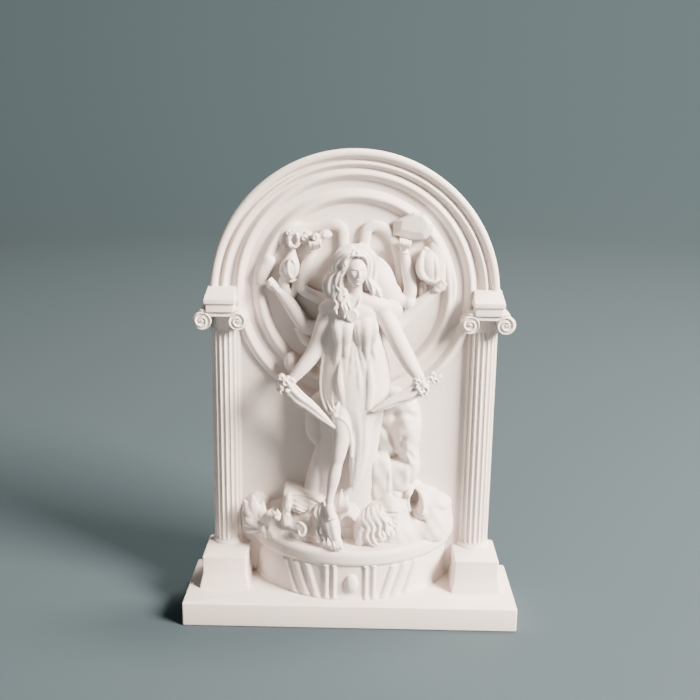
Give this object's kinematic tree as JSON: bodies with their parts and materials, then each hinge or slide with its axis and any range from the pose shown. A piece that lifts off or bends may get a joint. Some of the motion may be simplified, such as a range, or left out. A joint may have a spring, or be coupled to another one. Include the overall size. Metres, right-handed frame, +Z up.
{
  "type": "relief statue in a niche",
  "caption": "Plaster casting of a many-armed goddess standing on a drum in an arched niche, between fluted columns on a rectangular slab.",
  "frame": {"origin": "middle of the underside of the slab", "axes": "+Z up, the niche faces -Y, +X towards the right-hand column as seen from the front"},
  "size_m": [0.157, 0.0456, 0.22],
  "materials": {
    "plaster": "unpainted white plaster, matt, with a fine dry grain"
  },
  "bodies": {
    "root": {"goddess_niche": "plaster"}
  },
  "joints": []
}
